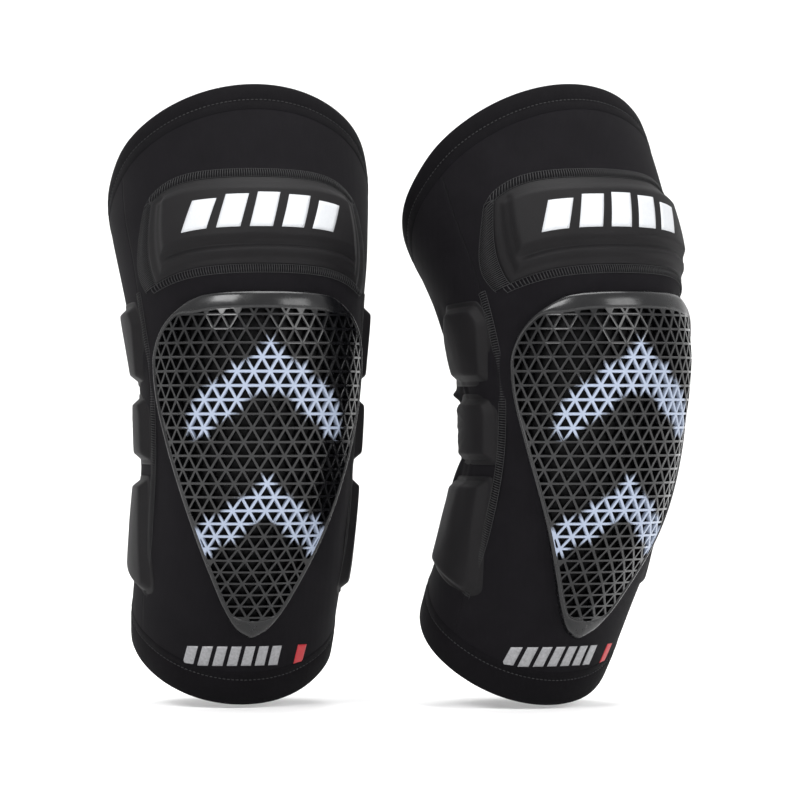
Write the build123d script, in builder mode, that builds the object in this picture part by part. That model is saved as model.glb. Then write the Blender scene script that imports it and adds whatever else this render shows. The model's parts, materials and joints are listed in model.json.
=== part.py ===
"""A pair of slip-on knee guards, each a pre-curved stretch sleeve that carries a knee cup and pads.

Each guard is modelled in its own frame (x across, y from front to back, z up the leg) and is then
turned and set beside the other one. The sleeve is a bent tube, and every layer on it is a slice
of the same tube made thicker or thinner.
"""

import os

from build123d import *

os.makedirs("parts", exist_ok=True)

# --- Driving dimensions (mm) ------------------------------------------------------------------
# Sleeve surface: height, front and back of the section, half of its width, and its sideways lean.
SECTIONS = [
    (-20, 34, 146, 53, 0),
    (20, 12, 129, 55, 0),
    (60, -14, 109, 57, 0),
    (100, -38, 84, 57.5, 0),
    (140, -50, 66, 57.5, 0),
    (180, -56, 69, 59.5, 0),
    (220, -57, 94, 64.5, 0),
    (260, -45, 126, 70, 1),
    (300, -21, 151, 72.5, 3),
    (350, 13, 182, 72, 5.5),
]
LOW, HIGH = SECTIONS[0][0], SECTIONS[-1][0]
FABRIC = 2.5  # wall of the sleeve
GRIP = 1.2  # silicone strip inside each cuff
GRIP_WIDTH = 9
CLEAR = 0.35  # air between neighbouring layers
LINER = 4.5  # impact foam below the cup
LINER_SHARE = 0.9  # the liner's width against the cup's
CUP = 4.0  # wall of the cup
PAD = 5.5  # side pads
BROW = 6.5  # pad above the cup
PRINT = 0.5  # raised graphics

# Knee axis in the guard's frame, and the room that the zones leave for its motion.
PIVOT_Y = 5
PIVOT_Z = 158
# Half of the outline (x, distance from the axis) of a ball that holds the shin's upper end.
KNEE_BALL = [(0, 100.5), (16, 99.5), (39, 92.5), (56, 68), (59, 61), (63, 46), (90, 46)]
THIGH_BASE = 45  # height of the thigh's panels above the axis, at the side and back
FRONT_SHARE = 10  # the ball shapes the thigh's edge up to this far behind the axis
SHIN_FRONT_TOP = 226
SHIN_SIDE_TOP = 8  # height of the shin's side panels above the axis
SHIN_SHOULDER = 22  # the shin's front panel drops to its side panels this far before the axis
SHIN_BACK_SLOPE = -0.58  # the shin's edge falls away behind the knee
PAD_GAP_RADIUS = 25  # round gap between the upper and middle side pads

# Cuffs: each is cut by a plane, falling to the back at the thigh and rising at the shin.
THIGH_RIM_Z = 348
THIGH_RIM_SLOPE = -1.08
SHIN_RIM_Y = 20
SHIN_RIM_SLOPE = 0.81
HEM = 21  # height of the doubled hem

# Seams run up the leg at these shares of the sleeve's depth.
FRONT_SEAM = 0.34
BACK_SEAM = 0.79

# Outlines of what is sewn on: half of a front view (x, z), or a side view (y, z).
CUP_OUTLINE = [(9, 40), (34, 91), (51, 141), (58.5, 176), (58.5, 203), (38, 226)]
BROW_OUTLINE = [(0, 243), (30, 240), (50, 230), (57, 232), (56, 270), (43, 282), (25, 287), (0, 289)]
UPPER_PAD = [(-8, 176), (-9, 212), (-1, 221), (29, 219), (37, 202), (34, 176)]
MIDDLE_PAD = [(-9, 136), (-11, 170), (-4, 184), (20, 184), (28, 170), (28, 136)]
LOWER_PAD = [(-5, 126), (14, 66), (22, 62), (62, 82), (43, 126)]
BROW_BARS = 5
CUFF_BARS = 7

# The pair: each guard's place along x, and its turn.
GUARDS = {"left": (-88, 12), "right": (88, 30)}

SPAN = 400  # longer than anything in the model
REACH = 150  # further back than any guard, and nearer than where the two rim planes meet
FRONT_DEPTH = 25  # outlines in the front view cut from this far behind the guard's middle


# --- Sleeve layers and zones --------------------------------------------------------------------
def tube(growth):
    """The sleeve's outer surface as a solid, made thicker all round by growth."""
    with BuildPart() as solid:
        for height, front, back, half_width, lean in SECTIONS:
            with BuildSketch(Plane.XY.offset(height)):
                with Locations((lean, (front + back) / 2)):
                    Ellipse(half_width + growth, (back - front) / 2 + growth)
        loft()
    return solid.part


def layer(inner, outer):
    """The space between two growths of the tube."""
    with BuildPart() as solid:
        add(tube(outer))
        add(tube(inner), mode=Mode.SUBTRACT)
    return solid.part


def side_profile(points):
    """A prism across the whole guard with the given outline in the (y, z) view."""
    with BuildPart() as solid:
        with BuildSketch(Plane.YZ):
            with BuildLine():
                Polyline(*points, close=True)
            make_face()
        extrude(amount=SPAN / 2, both=True)
    return solid.part


def seam_line(share):
    """Points up the leg at one share of the sleeve's depth."""
    return [(front + share * (back - front), height) for height, front, back, *_ in SECTIONS]


def column(share_from, share_to):
    """The part of the guard between two seams, or past one of them."""
    if share_from is None:
        return side_profile([(-SPAN, LOW), *seam_line(share_to), (-SPAN, HIGH)])
    if share_to is None:
        return side_profile([(SPAN, LOW), *seam_line(share_from), (SPAN, HIGH)])
    return side_profile([*seam_line(share_from), *reversed(seam_line(share_to))])


def between_rims(inset):
    """What lies between the cuffs' edges, each moved in by inset."""
    thigh = THIGH_RIM_Z - inset
    shin = inset - SHIN_RIM_SLOPE * SHIN_RIM_Y
    return side_profile(
        [
            (-REACH, thigh - THIGH_RIM_SLOPE * REACH),
            (REACH, thigh + THIGH_RIM_SLOPE * REACH),
            (REACH, shin + SHIN_RIM_SLOPE * REACH),
            (-REACH, shin - SHIN_RIM_SLOPE * REACH),
        ]
    )


def thigh_zone(growth):
    """Where the thigh's panels may be, so that they pass over the cup when the leg straightens."""
    base = PIVOT_Z + THIGH_BASE - growth
    edge = PIVOT_Y + FRONT_SHARE
    centre = (0, PIVOT_Y, PIVOT_Z)
    half_ball = [(x, radius - growth) for x, radius in KNEE_BALL]
    other_half = [(-x, radius) for x, radius in reversed(half_ball[1:])]
    end = KNEE_BALL[-1][0]
    with BuildPart() as ball:
        with BuildSketch(Plane(centre, x_dir=(1, 0, 0), z_dir=(0, 0, 1))):
            with BuildLine():
                Polyline((-end, 0), *other_half, *half_ball, (end, 0), close=True)
            make_face()
        revolve(axis=Axis(centre, (1, 0, 0)))
        with BuildSketch(Plane.YZ):
            with BuildLine():
                Polyline((-SPAN, base), (edge, base), (edge, SPAN), (-SPAN, SPAN), close=True)
            make_face()
        extrude(amount=SPAN / 2, both=True, mode=Mode.INTERSECT)
    with BuildPart() as zone:
        add(side_profile([(-SPAN, base), (SPAN, base), (SPAN, SPAN), (-SPAN, SPAN)]))
        add(ball.part, mode=Mode.SUBTRACT)
    return zone.part


def shin_zone(growth):
    """Where the shin's panels may be: high behind the cup, lower at the side and back."""
    side = PIVOT_Z + SHIN_SIDE_TOP + growth
    edge = PIVOT_Y + FRONT_SHARE
    return side_profile(
        [
            (-SPAN, -SPAN),
            (-SPAN, SHIN_FRONT_TOP + growth),
            (PIVOT_Y - 2 * SHIN_SHOULDER + growth, SHIN_FRONT_TOP + growth),
            (PIVOT_Y - SHIN_SHOULDER + growth, side),
            (edge, side),
            (SPAN, side + SHIN_BACK_SLOPE * (SPAN - edge)),
            (SPAN, -SPAN),
        ]
    )


# --- Ways to cut a layer --------------------------------------------------------------------------
def shared(first, *others):
    """What all the given solids have in common."""
    with BuildPart() as solid:
        add(first)
        for other in others:
            add(other, mode=Mode.INTERSECT)
    return solid.part


def without(first, *others):
    """The first solid less the others."""
    with BuildPart() as solid:
        add(first)
        for other in others:
            add(other, mode=Mode.SUBTRACT)
    return solid.part


def half(side):
    """The half of space at negative or positive x."""
    with BuildPart() as solid:
        with Locations((side * SPAN / 2, 0, 0)):
            Box(SPAN, 2 * SPAN, 2 * SPAN)
    return solid.part


def front_stamp(half_outline, corner):
    """A symmetric outline in the front view, cut through the front of the guard."""
    with BuildPart() as solid:
        with BuildSketch(Plane.XZ.offset(-FRONT_DEPTH)):
            with BuildLine():
                mirrored = [(-x, z) for x, z in reversed(half_outline) if x > 0]
                Polyline(*half_outline, *mirrored, close=True)
            make_face()
            sharp = [point for point in vertices() if abs(point.X) > 1]
            fillet(sharp, corner)
        extrude(amount=SPAN)
    return solid.part


def side_stamp(outline, corner, side):
    """An outline in the side view, cut through one side of the guard."""
    with BuildPart() as solid:
        with BuildSketch(Plane.YZ):
            with BuildLine():
                Polyline(*outline, close=True)
            make_face()
            fillet(vertices(), corner)
        extrude(amount=side * SPAN)
    return solid.part


def bars(count, pitch, width, height, lean, centre_z):
    """A row of slanted bars in the front view."""
    with BuildPart() as solid:
        with BuildSketch(Plane.XZ.offset(-FRONT_DEPTH)):
            for index in range(count):
                x = (index - (count - 1) / 2) * pitch
                with BuildLine():
                    Polyline(
                        (x - width / 2 - lean, centre_z - height / 2),
                        (x + width / 2 - lean, centre_z - height / 2),
                        (x + width / 2 + lean, centre_z + height / 2),
                        (x - width / 2 + lean, centre_z + height / 2),
                        close=True,
                    )
                make_face()
        extrude(amount=SPAN)
    return solid.part


def knee_disc(radius):
    """A round plug along the knee axis."""
    with BuildPart() as solid:
        with BuildSketch(Plane.YZ):
            with Locations((PIVOT_Y, PIVOT_Z)):
                Circle(radius)
        extrude(amount=SPAN / 2, both=True)
    return solid.part


# --- Pieces of one guard --------------------------------------------------------------------------
def sleeve_panels():
    """Fabric panels: the thigh's and shin's, and the stretch panels between them at the knee."""
    wall = layer(-FABRIC, 0)
    body = shared(wall, between_rims(HEM))
    zones = {
        "thigh": shared(body, thigh_zone(0)),
        "shin": without(shared(body, shin_zone(0)), thigh_zone(CLEAR)),
        "knee": without(body, thigh_zone(CLEAR), shin_zone(CLEAR)),
    }
    front, side, back = column(None, FRONT_SEAM), column(FRONT_SEAM, BACK_SEAM), column(BACK_SEAM, None)
    names = {
        "thigh": ("thigh_front_panel", "thigh_side_panel", "thigh_back_panel"),
        "shin": ("shin_front_panel", "shin_side_panel", "shin_back_panel"),
        "knee": ("knee_stretch_strip", "knee_gusset", "knee_back_mesh"),
    }
    panels = {}
    for zone, solid in zones.items():
        front_name, side_name, back_name = names[zone]
        panels[front_name] = shared(solid, front)
        for end in (-1, 1):
            panels[side_name, end] = shared(solid, side, half(end))
        panels[back_name] = shared(solid, back)
    return panels


def cuffs():
    """Doubled hems at both ends, and the silicone strip inside each of them."""
    hems = without(shared(layer(-FABRIC, CLEAR), between_rims(0)), between_rims(HEM))
    band = shared(layer(-FABRIC - CLEAR - GRIP, -FABRIC - CLEAR), between_rims(HEM / 4))
    grips = without(band, between_rims(HEM / 4 + GRIP_WIDTH))
    above = side_profile([(-SPAN, PIVOT_Z), (SPAN, PIVOT_Z), (SPAN, SPAN), (-SPAN, SPAN)])
    return {
        "thigh_hem": shared(hems, above),
        "thigh_grip_strip": shared(grips, above),
        "shin_hem": without(hems, above),
        "shin_grip_strip": without(grips, above),
    }


def front_pieces():
    """The cup and its liner on the shin, the brow pad on the thigh, and both raised graphics."""
    cup_stamp = front_stamp(CUP_OUTLINE, 2.5)
    liner_top = CLEAR + LINER
    liner_stamp = front_stamp([(x * LINER_SHARE, z * 0.97 + 2) for x, z in CUP_OUTLINE], 2.5)
    brow_top = CLEAR + BROW
    return {
        "knee_cup": shared(layer(liner_top + CLEAR, liner_top + CLEAR + CUP), cup_stamp),
        "cup_liner": shared(layer(CLEAR, liner_top), liner_stamp),
        "brow_pad": shared(layer(CLEAR, brow_top), front_stamp(BROW_OUTLINE, 2)),
        "brow_graphic": shared(layer(brow_top, brow_top + PRINT), bars(BROW_BARS, 15, 9, 17, 3, 266)),
        "cuff_graphic": shared(layer(CLEAR, CLEAR + PRINT), bars(CUFF_BARS, 9, 4.5, 8, 1.5, 30)),
    }


def side_pads():
    """Three moulded pads down each side of the knee."""
    pads = {}
    solid = layer(CLEAR, CLEAR + PAD)
    for end in (-1, 1):
        upper = shared(solid, side_stamp(UPPER_PAD, 3, end))
        pads["upper_side_pad", end] = without(upper, knee_disc(PAD_GAP_RADIUS + 1.5))
        middle = shared(solid, side_stamp(MIDDLE_PAD, 3, end))
        pads["middle_side_pad", end] = shared(middle, knee_disc(PAD_GAP_RADIUS - 1.5))
        pads["lower_side_pad", end] = shared(solid, side_stamp(LOWER_PAD, 3, end))
    return pads


# --- The pair -------------------------------------------------------------------------------------
pieces = {**sleeve_panels(), **cuffs(), **front_pieces(), **side_pads()}

boxes = [
    piece.moved(Location((place, 0, 0), (0, 0, turn))).bounding_box()
    for place, turn in GUARDS.values()
    for piece in pieces.values()
]
centre_x = (min(box.min.X for box in boxes) + max(box.max.X for box in boxes)) / 2
centre_y = (min(box.min.Y for box in boxes) + max(box.max.Y for box in boxes)) / 2
base_z = min(box.min.Z for box in boxes)

for guard, (place, turn) in GUARDS.items():
    inner_end = 1 if guard == "left" else -1
    for name, piece in pieces.items():
        if isinstance(name, tuple):
            name, end = name
            name += "_inside" if end == inner_end else "_outside"
        with BuildPart() as node:
            with Locations(Location((place - centre_x, -centre_y, -base_z), (0, 0, turn))):
                add(piece)
        node.part.label = f"{guard}_{name}"
        export_step(node.part, f"parts/{node.part.label}.step")

print(f"guards are moved by {-centre_x:.4f}, {-centre_y:.4f}, {-base_z:.4f}")
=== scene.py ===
"""Looks of a pair of slip-on knee guards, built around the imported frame.

Each guard is made in its own frame (x across, y from front to back, z up the leg, metres) and is
then set where the knee hinge of its CAD model says. Every layer lies on one sleeve surface.
"""

import json
import math

import bmesh
import bpy
import numpy as np
from mathutils import Matrix, Vector
from mathutils.geometry import tessellate_polygon


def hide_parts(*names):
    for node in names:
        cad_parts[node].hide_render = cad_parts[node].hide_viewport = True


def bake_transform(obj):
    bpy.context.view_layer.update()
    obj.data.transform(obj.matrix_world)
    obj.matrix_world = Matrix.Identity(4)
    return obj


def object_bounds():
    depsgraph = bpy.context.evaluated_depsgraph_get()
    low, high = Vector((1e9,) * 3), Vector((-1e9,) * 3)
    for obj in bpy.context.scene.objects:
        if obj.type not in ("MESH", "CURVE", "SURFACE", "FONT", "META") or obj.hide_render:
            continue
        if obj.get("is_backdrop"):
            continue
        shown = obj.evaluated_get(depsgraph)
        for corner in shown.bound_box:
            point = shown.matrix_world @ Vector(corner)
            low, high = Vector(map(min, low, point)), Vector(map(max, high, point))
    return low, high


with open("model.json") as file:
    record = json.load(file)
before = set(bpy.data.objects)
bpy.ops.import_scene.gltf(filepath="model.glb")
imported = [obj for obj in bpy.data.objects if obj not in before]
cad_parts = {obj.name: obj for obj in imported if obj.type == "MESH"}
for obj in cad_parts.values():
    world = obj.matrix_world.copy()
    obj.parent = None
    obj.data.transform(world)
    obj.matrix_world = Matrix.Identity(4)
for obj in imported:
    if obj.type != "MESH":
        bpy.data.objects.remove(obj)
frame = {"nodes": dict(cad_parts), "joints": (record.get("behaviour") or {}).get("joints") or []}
cad_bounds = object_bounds()

MM = 0.001

# --- Driving dimensions (mm), the same as the CAD model's ---------------------------------------
SECTIONS = np.array(
    [
        (-20, 34, 146, 53, 0),
        (20, 12, 129, 55, 0),
        (60, -14, 109, 57, 0),
        (100, -38, 84, 57.5, 0),
        (140, -50, 66, 57.5, 0),
        (180, -56, 69, 59.5, 0),
        (220, -57, 94, 64.5, 0),
        (260, -45, 126, 70, 1),
        (300, -21, 151, 72.5, 3),
        (350, 13, 182, 72, 5.5),
    ],
    float,
)
KNEE_Y, KNEE_Z = 5, 158
THIGH_RIM_Z, THIGH_RIM_SLOPE = 348, -1.08
SHIN_RIM_Y, SHIN_RIM_SLOPE = 20, 0.81
FABRIC = 2.3
FRONT_SEAM, BACK_SEAM = math.radians(71.3), math.radians(125.5)
CUP_OUTLINE = [(9, 40), (34, 91), (51, 141), (58.5, 176), (58.5, 203), (38, 226)]
LATTICE_SIDE = 8.7  # triangle side of the cup's lattice
RIB = 0.55  # half of a rib's width
CUP_DEPTH = 3.4
# Share of each cell's mouth, and depth below the cup's face.
CELL_WALL = ((0.97, 0.0), (0.9, 0.35), (0.74, CUP_DEPTH - 0.4), (0.74, CUP_DEPTH))
PLEAT_Z = 174  # height of the fabric's fold behind the knee


# --- Materials ------------------------------------------------------------------------------------
def new_material(name, color, roughness, **sockets):
    """A material and its shader, with constant values on the shader's own sockets."""
    material = bpy.data.materials.new(name)
    material.use_nodes = True
    shader = material.node_tree.nodes["Principled BSDF"]
    shader.inputs["Base Color"].default_value = (*color, 1)
    shader.inputs["Roughness"].default_value = roughness
    for socket, value in sockets.items():
        shader.inputs[socket.replace("_", " ")].default_value = value
    return material, shader


def add_node(material, kind, **inputs):
    node = material.node_tree.nodes.new(kind)
    for socket, value in inputs.items():
        node.inputs[socket.replace("_", " ")].default_value = value
    return node


def link(material, source, target):
    material.node_tree.links.new(source, target)


def object_point(material, scale=(1, 1, 1)):
    """Object coordinates in metres, scaled."""
    coordinates = add_node(material, "ShaderNodeTexCoord")
    mapping = add_node(material, "ShaderNodeMapping", Scale=scale)
    link(material, coordinates.outputs["Object"], mapping.inputs["Vector"])
    return mapping.outputs["Vector"]


def color_between(material, shader, factor, low, high):
    """Colours the surface between two colours by a factor."""
    ramp = add_node(material, "ShaderNodeValToRGB")
    ramp.color_ramp.elements[0].color = (*low, 1)
    ramp.color_ramp.elements[1].color = (*high, 1)
    link(material, factor, ramp.inputs["Fac"])
    link(material, ramp.outputs["Color"], shader.inputs["Base Color"])
    return ramp


def bump(material, shader, height, distance, strength=1.0):
    node = add_node(material, "ShaderNodeBump", Strength=strength, Distance=distance)
    link(material, height, node.inputs["Height"])
    link(material, node.outputs["Normal"], shader.inputs["Normal"])


def knit(name, low, high, scale, depth, roughness=0.8, sheen=0.01):
    """A fine knit: two crossed waves for the loops and cloudy colour."""
    material, shader = new_material(
        name, low, roughness, Sheen_Weight=sheen, Sheen_Roughness=0.45, Specular_IOR_Level=0.05
    )
    point = object_point(material)
    columns = add_node(material, "ShaderNodeTexWave", Scale=scale, Distortion=0.6, Detail=1.0)
    columns.bands_direction = "X"
    rows = add_node(material, "ShaderNodeTexWave", Scale=scale * 1.3, Distortion=0.6, Detail=1.0)
    rows.bands_direction = "Z"
    loops = add_node(material, "ShaderNodeMath")
    loops.operation = "MULTIPLY"
    for wave, socket in ((columns, 0), (rows, 1)):
        link(material, point, wave.inputs["Vector"])
        link(material, wave.outputs["Fac"], loops.inputs[socket])
    cloud = add_node(material, "ShaderNodeTexNoise", Scale=55.0, Detail=6.0, Roughness=0.65)
    link(material, point, cloud.inputs["Vector"])
    color_between(material, shader, cloud.outputs["Fac"], low, high)
    bump(material, shader, loops.outputs[0], depth, 0.5)
    return material


def moulded_foam(name, low, high):
    """Fabric-faced moulded foam: matte, a little lighter, with a soft fine grain."""
    material, shader = new_material(
        name, low, 0.6, Sheen_Weight=0.008, Sheen_Roughness=0.4, Specular_IOR_Level=0.11
    )
    point = object_point(material)
    cloud = add_node(material, "ShaderNodeTexNoise", Scale=40.0, Detail=8.0, Roughness=0.7)
    link(material, point, cloud.inputs["Vector"])
    color_between(material, shader, cloud.outputs["Fac"], low, high)
    grain = add_node(material, "ShaderNodeTexNoise", Scale=1800.0, Detail=2.0)
    link(material, point, grain.inputs["Vector"])
    bump(material, shader, grain.outputs["Fac"], 0.0002, 0.5)
    return material


def cup_plastic():
    """Glossy black plastic, sprayed pale where the mesh's paint attribute says."""
    black, pale = (0.0025, 0.0025, 0.003), (0.23, 0.265, 0.34)
    material, shader = new_material(
        "cup_plastic", black, 0.22, Coat_Weight=0.1, Coat_Roughness=0.12, Specular_IOR_Level=0.34
    )
    paint = add_node(material, "ShaderNodeAttribute")
    paint.attribute_name = "paint"
    point = object_point(material)
    spray = add_node(material, "ShaderNodeTexNoise", Scale=900.0, Detail=3.0, Roughness=0.7)
    link(material, point, spray.inputs["Vector"])
    edge = add_node(material, "ShaderNodeMath")
    edge.operation = "MULTIPLY_ADD"
    edge.inputs[1].default_value = 0.5
    link(material, spray.outputs["Fac"], edge.inputs[0])
    link(material, paint.outputs["Fac"], edge.inputs[2])
    ramp = color_between(material, shader, edge.outputs[0], black, pale)
    ramp.color_ramp.elements[0].position = 0.42
    ramp.color_ramp.elements[1].position = 0.85
    scuff = add_node(material, "ShaderNodeTexNoise", Scale=130.0, Detail=5.0, Roughness=0.6)
    link(material, point, scuff.inputs["Vector"])
    rough = add_node(material, "ShaderNodeMapRange", From_Min=0.3, From_Max=0.75, To_Min=0.16, To_Max=0.34)
    link(material, scuff.outputs["Fac"], rough.inputs["Value"])
    link(material, rough.outputs["Result"], shader.inputs["Roughness"])
    bump(material, shader, spray.outputs["Fac"], 0.00004, 0.6)
    return material


def print_material(name, low, high, roughness):
    material, shader = new_material(name, low, roughness)
    point = object_point(material)
    cloud = add_node(material, "ShaderNodeTexNoise", Scale=700.0, Detail=4.0)
    link(material, point, cloud.inputs["Vector"])
    color_between(material, shader, cloud.outputs["Fac"], low, high)
    bump(material, shader, cloud.outputs["Fac"], 0.00008, 0.6)
    return material


MATERIALS = {
    "sleeve_fabric": knit("sleeve_knit", (0.0028, 0.0025, 0.0032), (0.0062, 0.0056, 0.0068), 480, 0.00025),
    # The hem's knit is the sleeve's knit made darker: painted shade, so that the hem bands, which catch the
    # lights on their rolled edges, show no lighter than the sleeve.
    "hem_fabric": knit("hem_knit_painted_shade", (0.0020, 0.0018, 0.0023), (0.0044, 0.0040, 0.0049), 480, 0.00025),
    "mesh_fabric": knit("mesh_knit", (0.002, 0.002, 0.0023), (0.008, 0.0075, 0.0085), 200, 0.0009),
    "moulded_pad": moulded_foam("moulded_pad", (0.0038, 0.0035, 0.0039), (0.0072, 0.0067, 0.0074)),
    "foam": moulded_foam("liner_foam", (0.002, 0.002, 0.0022), (0.004, 0.004, 0.0045)),
    "cup_plastic": cup_plastic(),
    "white_print": print_material("white_print", (0.36, 0.37, 0.39), (0.43, 0.44, 0.45), 0.6),
    "grey_print": print_material("grey_print", (0.10, 0.10, 0.105), (0.30, 0.30, 0.31), 0.3),
    "red_print": print_material("red_print", (0.26, 0.003, 0.008), (0.36, 0.006, 0.012), 0.5),
    "silicone": moulded_foam("silicone", (0.012, 0.012, 0.013), (0.02, 0.02, 0.022)),
    "thread": print_material("thread", (0.003, 0.003, 0.0035), (0.012, 0.012, 0.013), 0.8),
}


# --- The sleeve surface -----------------------------------------------------------------------------
SLOPES = np.gradient(SECTIONS[:, 1:], SECTIONS[:, 0], axis=0)


def section(z):
    """Centre, half depth, half width and sideways lean of the sleeve at each height, smoothly."""
    z = np.asarray(z, float)
    heights = SECTIONS[:, 0]
    index = np.clip(np.searchsorted(heights, z) - 1, 0, len(heights) - 2)
    step = heights[index + 1] - heights[index]
    t = ((z - heights[index]) / step)[..., None]
    step = step[..., None]
    low, high = SECTIONS[index, 1:], SECTIONS[index + 1, 1:]
    value = (
        (2 * t**3 - 3 * t**2 + 1) * low
        + (t**3 - 2 * t**2 + t) * step * SLOPES[index]
        + (3 * t**2 - 2 * t**3) * high
        + (t**3 - t**2) * step * SLOPES[index + 1]
    )
    front, back, half_width, lean = np.moveaxis(value, -1, 0)
    return (front + back) / 2, (back - front) / 2, half_width, lean


def on_sleeve(angle, z, lift):
    """Points on the sleeve, raised by lift. The angle is 0 at the front and grows towards +x."""
    angle, z, lift = np.broadcast_arrays(*(np.asarray(value, float) for value in (angle, z, lift)))
    centre, depth, width, lean = section(z)
    x = lean + (width + lift) * np.sin(angle)
    y = centre - (depth + lift) * np.cos(angle)
    return np.stack([x, y, z], -1)


def angle_at_x(x, z, lift=0.0):
    """The angle at which a point of the front view lies on the sleeve."""
    _, _, width, lean = section(z)
    return np.arcsin(np.clip((np.asarray(x) - lean) / (width + lift), -0.999, 0.999))


def angle_at_y(y, z):
    """The angle at which a point of the side view lies on the sleeve."""
    centre, depth, _, _ = section(z)
    return np.arccos(np.clip((centre - np.asarray(y)) / depth, -0.999, 0.999))


def thigh_rim(angle):
    """Height of the thigh's edge round the leg."""
    z = np.full_like(np.asarray(angle, float), 290.0)
    for _ in range(40):
        y = on_sleeve(angle, z, 0)[..., 1]
        z = 0.5 * z + 0.5 * (THIGH_RIM_Z + THIGH_RIM_SLOPE * y)
    return z


def shin_rim(angle):
    """Height of the shin's edge round the leg."""
    z = np.full_like(np.asarray(angle, float), 35.0)
    for _ in range(40):
        y = on_sleeve(angle, z, 0)[..., 1]
        z = 0.5 * z + 0.5 * SHIN_RIM_SLOPE * (y - SHIN_RIM_Y)
    return z


def smooth_step(value, low, high):
    t = np.clip((value - low) / (high - low), 0, 1)
    return t * t * (3 - 2 * t)


def wave_noise(angle, z, seed, waves=14, size=22.0):
    """Smooth noise of about +-1 over the sleeve: a sum of waves with seeded directions."""
    random = np.random.default_rng(seed)
    total = 0
    for _ in range(waves):
        around = random.integers(1, 7)
        up = random.normal() / size
        total = total + np.sin(around * angle + up * z * 2 + random.uniform(0, 2 * math.pi))
    return total / math.sqrt(waves)


def angle_wrap(angle):
    """The same angle between -pi and pi."""
    return (np.asarray(angle) + math.pi) % (2 * math.pi) - math.pi


def folds(angle, z):
    """Lift of the fabric where it gathers: creases that fan out from behind the knee."""
    centre, depth, _, _ = section(z)
    y = centre - depth * np.cos(angle) - KNEE_Y
    up = z - KNEE_Z + 4
    radius = np.hypot(y, up)
    heading = np.arctan2(up, y)
    reach = smooth_step(y, 2, 45) * (1 - smooth_step(np.abs(up), 30, 75))
    creases = np.sin(heading * 15 + 0.6 * np.sin(radius / 9)) + 0.5 * np.sin(heading * 27 + 1.3)
    calm = wave_noise(angle, z, 5) * 0.4
    pleat_line = PLEAT_Z - 3 * np.sin(angle * 2)
    behind = smooth_step(np.abs(angle_wrap(angle)), 1.75, 2.1)
    pleat = 2.6 * np.exp(-(((z - pleat_line) / 2.4) ** 2)) * behind
    return creases * reach * 1.6 + calm * (1 - 0.5 * reach) + pleat


# --- Meshes -------------------------------------------------------------------------------------------
def object_from(name, points, faces, slot, smooth=True):
    """A mesh object from local points in millimetres, with the material of a slot."""
    mesh = bpy.data.meshes.new(name)
    mesh.from_pydata((np.asarray(points) * MM).tolist(), [], [tuple(int(i) for i in f) for f in faces])
    mesh.materials.append(MATERIALS[slot])
    mesh.polygons.foreach_set("use_smooth", [smooth] * len(mesh.polygons))
    mesh.update()
    piece = bpy.data.objects.new(name, mesh)
    bpy.context.scene.collection.objects.link(piece)
    return piece


def grid_faces(rows, columns, closed=False, start=0, flip=False):
    """Faces of a grid of points stored row by row."""
    faces = []
    for row in range(rows - 1):
        for column in range(columns if closed else columns - 1):
            a = start + row * columns + column
            b = start + row * columns + (column + 1) % columns
            face = (a, b, b + columns, a + columns)
            faces.append(face[::-1] if flip else face)
    return faces


def closed_sheet(outer, inner, closed=False):
    """Points and faces of a sheet with two skins, each a (rows, columns, 3) grid, joined at its edges."""
    rows, columns, _ = outer.shape
    points = np.concatenate([outer.reshape(-1, 3), inner.reshape(-1, 3)])
    half = rows * columns
    faces = grid_faces(rows, columns, closed) + grid_faces(rows, columns, closed, half, flip=True)
    for column in range(columns if closed else columns - 1):
        after = (column + 1) % columns
        top = (rows - 1) * columns
        faces.append((after, column, half + column, half + after))
        faces.append((top + column, top + after, half + top + after, half + top + column))
    if not closed:
        for row in range(rows - 1):
            a, b = row * columns, (row + 1) * columns
            faces.append((a, b, half + b, half + a))
            last = columns - 1
            faces.append((b + last, a + last, half + a + last, half + b + last))
    return points, faces


def rounded(points, times=3):
    """A closed outline with its corners cut smooth."""
    points = np.asarray(points, float)
    for _ in range(times):
        after = np.roll(points, -1, axis=0)
        points = np.stack([0.75 * points + 0.25 * after, 0.25 * points + 0.75 * after], 1).reshape(-1, 2)
    return points


def softened(outline, reach):
    """A closed outline whose corners are rounded only within a reach of each corner."""
    outline = np.asarray(outline, float)
    points = []
    for before, corner, after in zip(np.roll(outline, 1, axis=0), outline, np.roll(outline, -1, axis=0)):
        for end in (before, after):
            length = np.linalg.norm(end - corner)
            points.append(corner + (end - corner) * min(reach, length / 2.2) / length)
    return rounded(points, 2)


def resample(points, count):
    """Evenly spaced points round a closed outline."""
    loop = np.vstack([points, points[:1]])
    along = np.concatenate([[0], np.cumsum(np.linalg.norm(np.diff(loop, axis=0), axis=1))])
    at = np.linspace(0, along[-1], count, endpoint=False)
    return np.stack([np.interp(at, along, loop[:, 0]), np.interp(at, along, loop[:, 1])], 1)


def inward(points):
    """Unit normals of a closed outline that point to its inside."""
    tangent = np.roll(points, -1, axis=0) - np.roll(points, 1, axis=0)
    normal = np.stack([-tangent[:, 1], tangent[:, 0]], 1)
    normal /= np.linalg.norm(normal, axis=1, keepdims=True)
    centre = points.mean(0)
    if ((centre - points) * normal).sum() < 0:
        normal = -normal
    return normal


def mirrored(half_outline):
    return half_outline + [(-x, z) for x, z in reversed(half_outline) if x > 0]


# --- Flat coordinates of the cup ----------------------------------------------------------------------
# s runs round the leg from the middle line and t up the front line, both along the surface.
CUP_MEAN_LIFT = 6.2
FRONT_HEIGHTS = np.linspace(30, 240, 120)
FRONT_LINE = on_sleeve(0, FRONT_HEIGHTS, CUP_MEAN_LIFT)
FRONT_ALONG = np.concatenate([[0], np.cumsum(np.linalg.norm(np.diff(FRONT_LINE, axis=0), axis=1))])
ANGLES = np.linspace(0, 2.0, 80)


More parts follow.
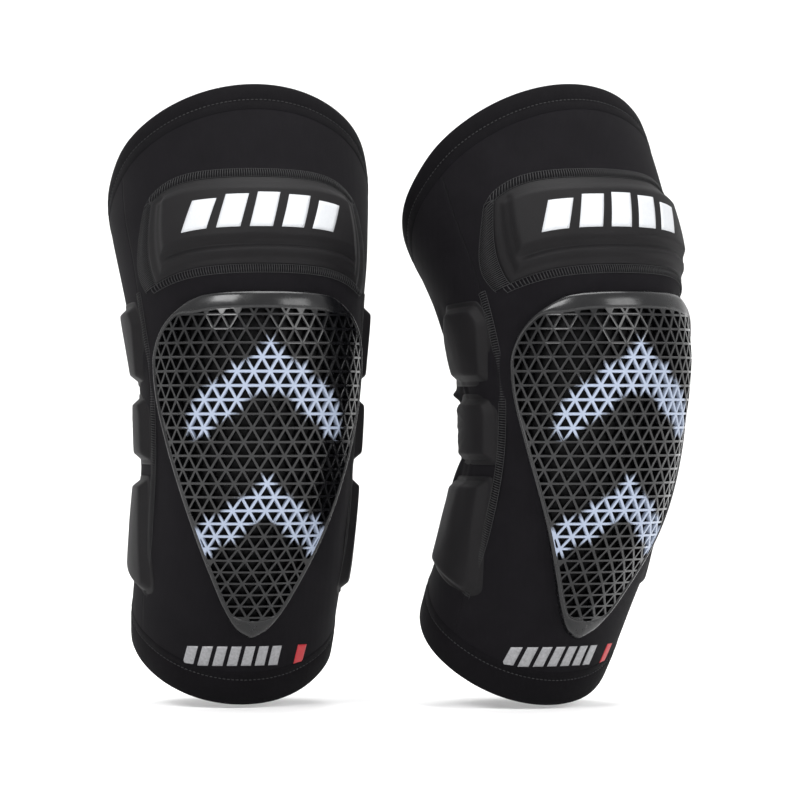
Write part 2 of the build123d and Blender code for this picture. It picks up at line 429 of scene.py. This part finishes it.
def around(z):
    """Distance round the leg from the middle line to each of ANGLES, at one height."""
    _, depth, width, _ = section(z)
    pace = np.hypot((width + CUP_MEAN_LIFT) * np.cos(ANGLES), (depth + CUP_MEAN_LIFT) * np.sin(ANGLES))
    return np.concatenate([[0], np.cumsum((pace[1:] + pace[:-1]) / 2 * np.diff(ANGLES))])


def flat_from_view(points):
    """(x, z) in the front view to (s, t) on the cup."""
    result = []
    for x, z in points:
        angle = float(angle_at_x(abs(x), z, CUP_MEAN_LIFT))
        s = np.interp(angle, ANGLES, around(z))
        result.append((math.copysign(s, x), np.interp(z, FRONT_HEIGHTS, FRONT_ALONG)))
    return np.array(result)


def from_flat(points, lift):
    """(s, t) on the cup to points in the guard's frame."""
    points = np.asarray(points, float)
    z = np.interp(points[:, 1], FRONT_ALONG, FRONT_HEIGHTS)
    angle = np.array([np.interp(abs(s), around(height), ANGLES) for s, height in zip(points[:, 0], z)])
    return on_sleeve(np.copysign(angle, points[:, 0]), z, lift)


def polygon_area(polygon):
    x, y = np.asarray(polygon, float).T
    return 0.5 * float(np.dot(x, np.roll(y, -1)) - np.dot(y, np.roll(x, -1)))


def clip(polygon, point, normal):
    """Keeps the part of a convex polygon on the side of a line that its normal points to."""
    kept = []
    for i, a in enumerate(polygon):
        b = polygon[(i + 1) % len(polygon)]
        da, db = np.dot(a - point, normal), np.dot(b - point, normal)
        if da >= 0:
            kept.append(a)
        if (da > 0 > db) or (da < 0 < db):
            kept.append(a + (b - a) * da / (da - db))
    return kept


def clip_to(polygon, outline):
    """The part of a convex polygon inside a convex counter-clockwise outline."""
    for point, after in zip(outline, np.roll(outline, -1, axis=0)):
        edge = after - point
        polygon = clip(polygon, point, np.array([-edge[1], edge[0]]))
        if len(polygon) < 3:
            return []
    return polygon


def hull(points):
    """The convex outline round a set of points, counter-clockwise."""
    ordered = sorted(map(tuple, points))
    chains = []
    for run in (ordered, ordered[::-1]):
        chain = []
        for p in run:
            while len(chain) > 1:
                if np.cross(np.subtract(chain[-1], chain[-2]), np.subtract(p, chain[-1])) > 0:
                    break
                chain.pop()
            chain.append(p)
        chains.append(chain[:-1])
    return np.array(chains[0] + chains[1])


def inset_polygon(polygon, distance):
    """A convex polygon, counter-clockwise, moved in by a distance on every side."""
    result = list(polygon)
    for i, a in enumerate(polygon):
        edge = polygon[(i + 1) % len(polygon)] - a
        length = np.linalg.norm(edge)
        if length < 1e-6:
            continue
        normal = np.array([-edge[1], edge[0]]) / length
        result = clip(result, a + normal * distance, normal)
        if len(result) < 3:
            return []
    return result


CUP_EDGE = resample(softened(flat_from_view(mirrored(CUP_OUTLINE)), 9), 200)
CUP_INWARD = inward(CUP_EDGE)
CUP_LOW, CUP_HIGH = CUP_EDGE[:, 1].min(), CUP_EDGE[:, 1].max()
RIM_WIDTH = (
    1.9
    + 6.5 * smooth_step(CUP_EDGE[:, 1], CUP_HIGH - 12, CUP_HIGH - 2)
    + 8.0 * (1 - smooth_step(CUP_EDGE[:, 1], CUP_LOW + 1, CUP_LOW + 16))
)
LATTICE_EDGE = CUP_EDGE + CUP_INWARD * RIM_WIDTH[:, None]


def cup_lift(points):
    """Height of the cup's outer face over the sleeve: low at its edge, domed inside."""
    points = np.asarray(points, float)
    distance = np.min(np.linalg.norm(points[:, None] - CUP_EDGE[None], axis=2), axis=1)
    return 4.3 + 2.8 * smooth_step(distance, 0, 26)


def paint_zone(points):
    """Strength of the sprayed paint: two stacked chevrons, a plain pattern of this model's own."""
    points = np.asarray(points, float)
    s, t = points[:, 0], points[:, 1] - CUP_LOW
    total = np.zeros(len(points))
    for top, band, reach in ((172, 22, 42), (98, 20, 48)):
        along = t - (top - 0.75 * np.abs(s))
        inside = smooth_step(along, -band - 2, -band + 2) * (1 - smooth_step(along, -2, 2))
        total = np.maximum(total, inside * (1 - smooth_step(np.abs(s), reach, reach + 3)))
    return total


def build_lattice():
    """Points, faces and paint of the cup's lattice: open triangular cells between thin ribs."""
    side, pitch = LATTICE_SIDE, LATTICE_SIDE * math.sqrt(3) / 2
    low, high = LATTICE_EDGE[:, 1].min(), LATTICE_EDGE[:, 1].max()
    half = np.abs(LATTICE_EDGE[:, 0]).max()
    edge = hull(LATTICE_EDGE)
    flat, depth, faces = [], [], []

    def put(polygon, sink):
        start = len(flat)
        flat.extend(polygon)
        depth.extend([sink] * len(polygon))
        return list(range(start, start + len(polygon)))

    def ring(outer, inner, flip):
        loops = [[Vector((*flat[i], 0)) for i in outer], [Vector((*flat[i], 0)) for i in inner]]
        indices = outer + inner
        for triangle in tessellate_polygon(loops):
            face = [indices[i] for i in triangle]
            up = polygon_area([flat[i] for i in face]) > 0
            faces.append(face[::-1] if up == flip else face)

    for row in range(int((high - low) / pitch) + 2):
        base = low - pitch / 2 + row * pitch
        shift = 0.5 * side * (row % 2)
        for column in range(-int(half / side) - 2, int(half / side) + 3):
            x = column * side + shift
            up = [(x, base), (x + side, base), (x + side / 2, base + pitch)]
            down = [(x + side / 2, base + pitch), (x + side, base), (x + 1.5 * side, base + pitch)]
            for triangle in (up, down):
                cell = clip_to([np.array(p) for p in triangle], edge)
                if len(cell) < 3 or polygon_area(cell) < 0.05:
                    continue
                mouth = inset_polygon(cell, RIB)
                top, bottom = put(cell, 0.0), put(cell, CUP_DEPTH)
                if len(mouth) < 3 or polygon_area(mouth) < 2.0:
                    faces.append(top)
                    faces.append(bottom[::-1])
                    continue
                centre = np.mean(mouth, axis=0)
                loops = []
                for share, sink in CELL_WALL:
                    loops.append(put([centre + (p - centre) * share for p in mouth], sink))
                ring(top, loops[0], False)
                for upper, lower in zip(loops, loops[1:]):
                    for i in range(len(mouth)):
                        j = (i + 1) % len(mouth)
                        faces.append((upper[i], upper[j], lower[j], lower[i]))
                ring(bottom, loops[-1], True)
    flat, depth = np.array(flat), np.array(depth)
    points = from_flat(flat, cup_lift(flat) - depth)
    paint = paint_zone(flat) * (1 - smooth_step(depth, 0.1, 2.2))
    return points, faces, paint


def build_rim():
    """Points and faces of the cup's solid edge: a band with a rounded section, left unpainted."""
    profile = [
        (1.0, CUP_DEPTH), (1.06, 0.5), (1.0, -0.1), (0.8, -0.45), (0.5, -0.55), (0.2, -0.4), (0.04, 0.1),
    ]  # share of the way to the lattice, and how far below the cup's face
    wall = [(-0.35, 1.2), (-0.6, 2.6), (-0.7, 4.3), (0.3, 4.35)]  # outward, and below the face
    rows = []
    for share, sink in profile:
        flat = CUP_EDGE + CUP_INWARD * (RIM_WIDTH * share)[:, None]
        rows.append(from_flat(flat, cup_lift(flat) - sink))
    for inset, sink in wall:
        flat = CUP_EDGE + CUP_INWARD * inset
        rows.append(from_flat(flat, cup_lift(CUP_EDGE) - sink))
    rows = np.array(rows)
    count = len(CUP_EDGE)
    points = rows.reshape(-1, 3)
    faces = grid_faces(len(rows), count, closed=True)
    return points, faces


def pad_ring(outline, inset):
    """A convex outline moved in on every side, seen from its centre, with rounded corners."""
    outline = np.asarray(outline, float)
    centre = outline.mean(0)
    edge = np.roll(outline, -1, axis=0) - outline
    normal = np.stack([edge[:, 1], -edge[:, 0]], 1) / np.linalg.norm(edge, axis=1, keepdims=True)
    reach = ((outline - centre) * normal).sum(1)
    normal, reach = normal * np.sign(reach)[:, None], np.abs(reach) - inset
    turns = np.linspace(0, 2 * math.pi, PAD_POINTS, endpoint=False)
    rays = np.stack([np.cos(turns), np.sin(turns)], 1)
    facing = np.maximum(rays @ normal.T, 0) / reach
    radius = (facing**PAD_CORNER).sum(1) ** (-1 / PAD_CORNER)
    return centre + rays * radius[:, None]


def build_pad(outline, mapping):
    """A moulded side pad: a sewn flange, a bevel and a flat plateau."""
    rows = [mapping(pad_ring(outline, inset), lift) for inset, lift in PAD_HEIGHTS]
    inset, lift = PAD_HEIGHTS[-1]
    last, centre = pad_ring(outline, inset), np.mean(outline, axis=0)
    for share in np.linspace(1, 0, 11)[1:-1]:
        rows.append(mapping(centre + (last - centre) * share, lift + 0.3 * (1 - share**2)))
    points = np.concatenate([*rows, mapping(centre[None], lift + 0.3)])
    tip, start = len(points) - 1, (len(rows) - 1) * PAD_POINTS
    faces = grid_faces(len(rows), PAD_POINTS, closed=True)
    faces += [(start + i, start + (i + 1) % PAD_POINTS, tip) for i in range(PAD_POINTS)]
    return points, outward(points, faces)


def surface_patch(flat_outline, heights, mapping, rings):
    """A crowned pad: an outline moved in step by step, each step with its own lift."""
    normals = inward(flat_outline)
    rows, centre = [], flat_outline.mean(0)
    for inset, lift in heights:
        flat = flat_outline + normals * inset
        rows.append(mapping(flat, lift))
    last = flat_outline + normals * heights[-1][0]
    for share in np.linspace(1, 0, rings + 1)[1:-1]:
        crown = heights[-1][1] + 0.5 * (1 - share**2)
        rows.append(mapping(centre + (last - centre) * share, crown))
    points = np.concatenate([np.concatenate(rows), mapping(centre[None], heights[-1][1] + 0.5)])
    count = len(flat_outline)
    faces = grid_faces(len(rows), count, closed=True)
    tip, start = len(points) - 1, (len(rows) - 1) * count
    faces += [(start + i, start + (i + 1) % count, tip) for i in range(count)]
    return points, faces


# --- Pieces of one guard ------------------------------------------------------------------------------
def fabric_panel(angle_from, angle_to, columns, low_inset, high_inset):
    """A panel of the sleeve between two seams, from hem to hem, as a sheet with two skins."""
    angles = np.linspace(angle_from, angle_to, columns)
    low, high = shin_rim(angles) + low_inset, thigh_rim(angles) - high_inset
    share = np.linspace(0, 1, 190)[:, None]
    z = low + share * (high - low)
    angle = np.broadcast_to(angles, z.shape)
    lift = folds(angle, z)
    return closed_sheet(on_sleeve(angle, z, lift), on_sleeve(angle, z, lift - FABRIC))


def hem(rim, toward, depth, stitch):
    """A doubled hem: a band with a rounded edge, a groove along its stitch line, and a soft ruck."""
    angles = np.linspace(-math.pi, math.pi, 241)[:-1]
    edge = rim(angles)
    profile = [
        (0.5, -2.0), (0.0, -1.5), (-0.1, -0.8), (0.1, -0.2), (0.8, 0.15), (2.5, 0.3), (stitch - 1.5, 0.45),
        (stitch - 0.6, 0.05), (stitch, -0.1), (stitch + 0.6, 0.05), (stitch + 2.0, 0.4), (depth - 1.0, 0.25),
        (depth + 0.3, -0.3), (depth + 0.4, -2.5), (1.8, -2.7),
    ]  # distance from the edge, lift
    rows = []
    for inset, lift in profile:
        z = edge + toward * inset
        ruck = 0.16 * np.sin(angles * 95) * math.exp(-(((inset - stitch) / 2.2) ** 2))
        rows.append(on_sleeve(angles, z, lift + folds(angles, z) + ruck))
    rows.append(rows[0])
    grid = np.array(rows[:-1])
    points = grid.reshape(-1, 3)
    count = len(angles)
    faces = grid_faces(len(grid), count, closed=True)
    last = (len(grid) - 1) * count
    for i in range(count):
        j = (i + 1) % count
        faces.append((last + i, last + j, j, i))
    return points, faces


def thread_run(path, radius=0.28, length=1.5, gap=0.9):
    """Stitches: short rounded threads laid end to end along a path of points."""
    along = np.concatenate([[0], np.cumsum(np.linalg.norm(np.diff(path, axis=0), axis=1))])
    points, faces = [], []
    for start in np.arange(0, along[-1] - length, length + gap):
        ends = [
            np.array([np.interp(start + d, along, path[:, k]) for k in range(3)])
            for d in (0, length / 2, length)
        ]
        add_thread(points, faces, ends, radius)
    return np.array(points), faces


def add_thread(points, faces, spine, radius):
    """Adds one thread to a mesh: a five-sided tube with drawn-in ends."""
    spine = [np.asarray(p, float) for p in spine]
    direction = spine[-1] - spine[0]
    direction /= max(np.linalg.norm(direction), 1e-9)
    side = np.cross(direction, (0.3, 0.9, 0.2))
    side /= np.linalg.norm(side)
    up = np.cross(direction, side)
    start = len(points)
    turns = np.linspace(0, 2 * math.pi, 6)[:-1]
    for i, p in enumerate(spine):
        r = radius * (0.55 if i in (0, len(spine) - 1) else 1)
        points.extend(p + r * (math.cos(a) * side + math.sin(a) * up) for a in turns)
    for ring in range(len(spine) - 1):
        for k in range(5):
            a, b = start + ring * 5 + k, start + ring * 5 + (k + 1) % 5
            faces.append((a, b, b + 5, a + 5))
    faces.append(tuple(start + k for k in range(5))[::-1])
    faces.append(tuple(start + (len(spine) - 1) * 5 + k for k in range(5)))


def flatlock(path_flat, mapping, width=5.0, pitch=1.35):
    """A flatlock seam: two rows of needle thread with cover threads zigzagging between them."""
    step = np.concatenate([[0], np.cumsum(np.linalg.norm(np.diff(path_flat, axis=0), axis=1))])
    at = np.arange(0, step[-1], pitch)
    line = np.stack([np.interp(at, step, path_flat[:, 0]), np.interp(at, step, path_flat[:, 1])], 1)
    tangent = np.gradient(line, axis=0)
    tangent /= np.linalg.norm(tangent, axis=1, keepdims=True)
    normal = np.stack([-tangent[:, 1], tangent[:, 0]], 1)
    left, right = line + normal * width / 2, line - normal * width / 2
    edge_left, edge_right, middle = mapping(left, 0.35), mapping(right, 0.35), mapping(line, 0.75)
    points, faces = [], []
    for i in range(len(line) - 1):
        add_thread(points, faces, (edge_left[i], middle[i], edge_right[i]), 0.3)
        add_thread(points, faces, (edge_left[i], edge_left[i + 1]), 0.3)
        add_thread(points, faces, (edge_right[i], edge_right[i + 1]), 0.3)
    return np.array(points), faces


def on_side(end):
    """A mapping from the side view (y, z) to one side of the sleeve."""
    def mapping(points, lift):
        y, z = points[:, 0], points[:, 1]
        angle = angle_at_y(y, z)
        return on_sleeve(end * angle, z, folds(angle, z) * 0.3 + lift)
    return mapping


BROW_WIDTH, BROW_TOP, BROW_BASE = 57, 288, 241


def brow_point(u, v, lift):
    """The brow pad's flat coordinates: u from side to side and v from its lower to its upper edge."""
    squeeze = 0.10
    x = BROW_WIDTH * u * np.sqrt(1 - squeeze * v**2)
    w = v * np.sqrt(1 - squeeze * u**2)
    share = np.abs(x) / BROW_WIDTH
    top = BROW_TOP - 3 * share**2 - 13 * share**6
    base = BROW_BASE - 5 * share**2 - 9 * share**5
    z = (top + base) / 2 + (top - base) / 2 * w
    angle = angle_at_x(x, z)
    return on_sleeve(angle, z, folds(angle, z) * 0.3 + lift)


def brow_height(u, v):
    """Lift of the brow pad: a thin flange, a plateau for the graphic, and a lower step."""
    side = (1 - np.abs(u)) * 62
    above = (1 - v) * 23
    below = (1 + v) * 23
    edge = np.minimum(np.minimum(side, above), below)
    flange = 0.5 + 0.4 * smooth_step(edge, 0, 1.5)
    step = 2.0 * smooth_step(edge, 2.6, 6.4)
    plateau = 2.7 * smooth_step(np.minimum(np.minimum(side - 5, above + 0.6), below - 11), 0.8, 5.4)
    groove = -1.1 * np.exp(-(((below - 10.3) / 1.2) ** 2)) * smooth_step(side, 5, 11)
    ridge = 0.7 * np.exp(-(((below - 7.4) / 1.2) ** 2)) * smooth_step(side, 5, 11)
    return flange + step + plateau + groove + ridge


def build_brow():
    u = np.linspace(-1, 1, 181)[None]
    v = np.linspace(-1, 1, 81)[:, None]
    u, v = np.broadcast_arrays(u, v)
    return closed_sheet(brow_point(u, v, brow_height(u, v)), brow_point(u, v, np.full(u.shape, 0.1)))


def brow_border():
    """The brow pad's outline in its own flat coordinates, a little outside its edge."""
    reach_u, reach_v = 1.045, 1.11
    corners = [(-reach_u, -reach_v), (reach_u, -reach_v), (reach_u, reach_v), (-reach_u, reach_v)]
    outline = []
    for (ax, ay), (bx, by) in zip(corners, corners[1:] + corners[:1]):
        for share in np.linspace(0, 1, 40, endpoint=False):
            outline.append((ax + (bx - ax) * share, ay + (by - ay) * share))
    return np.array(outline + outline[:1])


def slanted_bars(shapes, mapping, thickness, lean):
    """Raised bars, each given by its left and right edges and its low and high edges."""
    points, faces, count = [], [], 0
    for left, right, low, high in shapes:
        u = np.linspace(0, 1, 9)[None]
        v = np.linspace(0, 1, 9)[:, None]
        b = low + (high - low) * v + 0 * u
        a = left + (right - left) * u + lean * v
        rim = np.minimum(np.minimum(u, 1 - u), np.minimum(v, 1 - v))
        rise = thickness * (0.35 + 0.65 * smooth_step(rim, 0, 0.12))
        p, f = closed_sheet(mapping(a, b, rise), mapping(a, b, -0.15 + 0 * rise))
        points.append(p)
        faces += [tuple(i + count for i in face) for face in f]
        count += len(p)
    return np.concatenate(points), faces


UPPER_PAD = [(-9, 176), (-10, 212), (-1, 222), (29, 220), (38, 202), (35, 176)]
MIDDLE_PAD = [(-10, 134), (-12, 163), (-7, 172), (24, 172), (30, 165), (28, 134)]
LOWER_PAD = [(-6, 128), (14, 65), (23, 61), (60, 80), (42, 128)]
PAD_POINTS = 144  # points round each side pad
PAD_CORNER = 22  # how sharp the side pads' corners are
PAD_HEIGHTS = [
    (0.0, -0.4), (0.1, 0.25), (1.2, 0.45), (2.4, 0.5), (2.8, 0.8), (5.6, 4.0), (6.2, 4.4), (7.5, 4.6),
]  # inset from the outline, lift


def side_seam():
    """The vertical seam in front of the side pads."""
    z = np.linspace(226, 62, 120)
    centre, depth, _, _ = section(z)
    return np.stack([centre - depth * math.cos(FRONT_SEAM) - 1.0, z], 1)


class Guard:
    """One guard: where it stands, its bodies, and how a piece is put on it."""

    def __init__(self, side):
        joint = next(j for j in frame["joints"] if j["name"] == f"{side}_knee_flex")
        across = -Vector(joint["axis"]).normalized()
        turn = Matrix.Rotation(math.atan2(across.y, across.x), 4, "Z")
        knee = turn @ Vector((0, KNEE_Y * MM, KNEE_Z * MM))
        self.side = side
        self.place = Matrix.Translation(Vector(joint["pos_m"]) - knee) @ turn
        self.inner_end = 1 if side == "left" else -1

    def end_name(self, end):
        return "inside" if end == self.inner_end else "outside"

    def wear(self, piece, slot, *nodes):
        """Sets a piece in place and hides the CAD nodes that it stands for."""
        piece.data.transform(self.place)
        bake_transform(piece)
        if nodes:
            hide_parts(*[f"{self.side}_{node}" for node in nodes])

    def name(self, text):
        return f"{self.side}_{text}_look"

    def make_fabric(self):
        panels = [
            ("front_fabric", -FRONT_SEAM, FRONT_SEAM, 150, "sleeve_fabric",
             ("thigh_front_panel", "knee_stretch_strip", "shin_front_panel")),
            ("back_fabric", BACK_SEAM, 2 * math.pi - BACK_SEAM, 120, "mesh_fabric",
             ("thigh_back_panel", "knee_back_mesh", "shin_back_panel")),
        ]
        for end in (-1, 1):
            where = self.end_name(end)
            a, b = (FRONT_SEAM, BACK_SEAM) if end > 0 else (-BACK_SEAM, -FRONT_SEAM)
            panels.append(
                (f"side_fabric_{where}", a, b, 60, "sleeve_fabric",
                 (f"thigh_side_panel_{where}", f"knee_gusset_{where}", f"shin_side_panel_{where}"))
            )
        for name, a, b, columns, slot, nodes in panels:
            points, faces = fabric_panel(a, b, columns, 12, 12)
            piece = object_from(self.name(name), points, faces, slot)
            self.wear(piece, slot, *nodes)

    def make_hems(self):
        for name, rim, toward, depth, stitch in (
            ("thigh_hem", thigh_rim, -1, 15, 9),
            ("shin_hem", shin_rim, 1, 19, 14),
        ):
            points, faces = hem(rim, toward, depth, stitch)
            if toward < 0:
                faces = [face[::-1] for face in faces]
            piece = object_from(self.name(name), points, faces, "hem_fabric")
            self.wear(piece, "hem_fabric", name)
            angles = np.linspace(-math.pi, math.pi, 500)
            z = rim(angles) + toward * stitch
            path = on_sleeve(angles, z, 0.15 + folds(angles, z))
            points, faces = thread_run(path)
            thread = object_from(self.name(f"{name}_stitches"), points, faces, "thread")
            self.wear(thread, "hem_fabric")

    def make_cup(self):
        points, faces, paint = build_lattice()
        lattice = object_from(self.name("cup_lattice"), points, faces, "cup_plastic", smooth=False)
        add_paint(lattice, paint)
        weld(lattice)
        self.wear(lattice, "cup_plastic", "knee_cup")
        points, faces = build_rim()
        rim = object_from(self.name("cup_rim"), points, faces, "cup_plastic")
        add_paint(rim, np.zeros(len(points)))
        self.wear(rim, "cup_plastic")
        heights = [(1.4, 0.25), (1.5, 0.5), (4, 1.0)]
        points, faces = surface_patch(CUP_EDGE, heights, self.liner_point, 14)
        liner = object_from(self.name("cup_liner"), points, faces, "foam")
        self.wear(liner, "foam", "cup_liner")

    @staticmethod
    def liner_point(flat, lift):
        top = np.maximum(cup_lift(flat) - CUP_DEPTH - 0.2, 0.3)
        return from_flat(flat, np.minimum(top, top * lift + 0.1))

    def make_brow(self):
        points, faces = build_brow()
        pad = object_from(self.name("brow_pad"), points, faces, "moulded_pad")
        self.wear(pad, "moulded_pad", "brow_pad")
        points, faces = brow_seam()
        seam = object_from(self.name("brow_seam"), points, faces, "thread")
        self.wear(seam, "sleeve_fabric")
        shapes = [
            (left, left + 0.20, -0.16, high)
            for left, high in ((-0.70, 0.52), (-0.42, 0.60), (-0.14, 0.64), (0.14, 0.60), (0.42, 0.52))
        ]
        points, faces = slanted_bars(shapes, on_brow_plateau, 0.55, 0.10)
        graphic = object_from(self.name("brow_graphic"), points, faces, "white_print")
        self.wear(graphic, "white_print", "brow_graphic")

    def make_side_pads(self):
        for end in (-1, 1):
            where, mapping = self.end_name(end), on_side(end)
            for name, outline in (("upper", UPPER_PAD), ("middle", MIDDLE_PAD), ("lower", LOWER_PAD)):
                points, faces = build_pad(outline, mapping)
                piece = object_from(self.name(f"{name}_side_pad_{where}"), points, faces, "moulded_pad")
                self.wear(piece, "moulded_pad", f"{name}_side_pad_{where}")
            points, faces = flatlock(side_seam(), mapping, width=4.6)
            seam = object_from(self.name(f"side_seam_{where}"), points, faces, "thread")
            self.wear(seam, "sleeve_fabric")

    def make_cuff_graphic(self):
        bars = [(x, x + 5.4, 24, 35) for x in np.arange(-34, 19, 7.6)]
        points, faces = slanted_bars(bars, on_cuff, 0.3, 1.6)
        graphic = object_from(self.name("cuff_graphic"), points, faces, "grey_print")
        self.wear(graphic, "grey_print", "cuff_graphic")
        points, faces = slanted_bars([(26.8, 32.2, 24, 35)], on_cuff, 0.3, 1.6)
        mark = object_from(self.name("cuff_mark"), points, faces, "red_print")
        self.wear(mark, "grey_print")


def brow_seam():
    """Flatlock round the brow pad: its flat coordinates are turned to millimetres and back."""
    scale = np.array([58.0, 25.0])

    def mapping(flat, lift):
        u, v = (flat / scale).T
        return brow_point(u, v, lift)

    return flatlock(brow_border() * scale, mapping, width=4.6)


def on_brow_plateau(u, v, rise):
    """Points raised over the brow pad's face."""
    return brow_point(u, v, brow_height(u, v) + rise)


def on_cuff(x, z, rise):
    """Points of the front view raised over the fabric of the shin."""
    angle = angle_at_x(x, z)
    return on_sleeve(angle, z, folds(angle, z) + rise)


def outward(points, faces):
    """Faces turned so that the mesh's volume is positive."""
    p = np.asarray(points)
    volume = sum(
        np.dot(p[f[0]], np.cross(p[f[i]], p[f[i + 1]])) for f in faces for i in range(1, len(f) - 1)
    )
    return faces if volume > 0 else [f[::-1] for f in faces]


def add_paint(piece, values):
    paint = piece.data.attributes.new("paint", "FLOAT", "POINT")
    paint.data.foreach_set("value", np.asarray(values, np.float32))


def weld(piece):
    """Joins points that lie together."""
    mesh = bmesh.new()
    mesh.from_mesh(piece.data)
    bmesh.ops.remove_doubles(mesh, verts=mesh.verts, dist=0.00002)
    mesh.to_mesh(piece.data)
    mesh.free()


# --- Camera, floor and light --------------------------------------------------------------------------
def make_stage():
    """A level camera far off, a pale floor that turns up into a backdrop, and soft lights."""
    scene = bpy.context.scene
    distance, view_width = 2.0, 0.438
    camera = bpy.data.cameras.new("camera")
    camera.sensor_width = 36
    camera.lens = 36 * distance / view_width
    holder = bpy.data.objects.new("camera", camera)
    scene.collection.objects.link(holder)
    holder.location = (0, -distance, 0.1686)
    holder.rotation_euler = (math.radians(90), 0, 0)
    scene.camera = holder

    material, shader = new_material("floor", (0.93, 0.93, 0.93), 0.9, Specular_IOR_Level=0.1)
    point = object_point(material)
    cloud = add_node(material, "ShaderNodeTexNoise", Scale=3.0)
    link(material, point, cloud.inputs["Vector"])
    color_between(material, shader, cloud.outputs["Fac"], (0.95, 0.95, 0.95), (0.96, 0.96, 0.96))
    floor = bpy.data.meshes.new("floor")
    reach, bend_start, bend, wall_top = 6.0, 1.2, 1.6, 5.0
    turn_up = [(-reach, 0), (bend_start, 0)]
    for turn in np.linspace(0.08, math.pi / 2, 20):
        turn_up.append((bend_start + bend * math.sin(turn), bend - bend * math.cos(turn)))
    turn_up.append((bend_start + bend, wall_top))
    corners = [(x, y, z) for y, z in turn_up for x in (-reach, reach)]
    floor.from_pydata(corners, [], grid_faces(len(turn_up), 2))
    floor.polygons.foreach_set("use_smooth", [True] * len(floor.polygons))
    floor.materials.append(material)
    plane = bpy.data.objects.new("floor", floor)
    plane.location.z = -0.0005
    scene.collection.objects.link(plane)
    plane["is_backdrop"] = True

    world = bpy.data.worlds.new("studio")
    scene.world = world
    world.use_nodes = True
    background = world.node_tree.nodes["Background"]
    background.inputs["Color"].default_value = (1, 1, 1, 1)
    background.inputs["Strength"].default_value = 1.0
    for name, place, aim, size, power in (
        ("key", (-0.9, -1.6, 1.5), (0, 0, 0.2), 0.9, 34),
        ("fill", (1.3, -1.2, 0.7), (0, 0, 0.16), 0.9, 16),
        ("top", (0.1, 0.1, 1.7), (0, 0, 0.2), 1.0, 22),
    ):
        light = bpy.data.lights.new(name, "AREA")
        light.size = size
        light.energy = power
        lamp = bpy.data.objects.new(name, light)
        lamp.location = place
        lamp.rotation_euler = (Vector(aim) - Vector(place)).to_track_quat("-Z", "Y").to_euler()
        scene.collection.objects.link(lamp)
    scene.view_settings.view_transform = "Standard"


make_stage()
for side in ("left", "right"):
    guard = Guard(side)
    guard.make_fabric()
    guard.make_hems()
    guard.make_cup()
    guard.make_brow()
    guard.make_side_pads()
    guard.make_cuff_graphic()
    for node in (f"{side}_thigh_grip_strip", f"{side}_shin_grip_strip"):
        mesh = frame["nodes"][node].data
        mesh.materials.clear()
        mesh.materials.append(MATERIALS["silicone"])

sizes = {"cad": cad_bounds, "visual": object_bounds()}
{key: [list(corner) for corner in value] for key, value in sizes.items()}
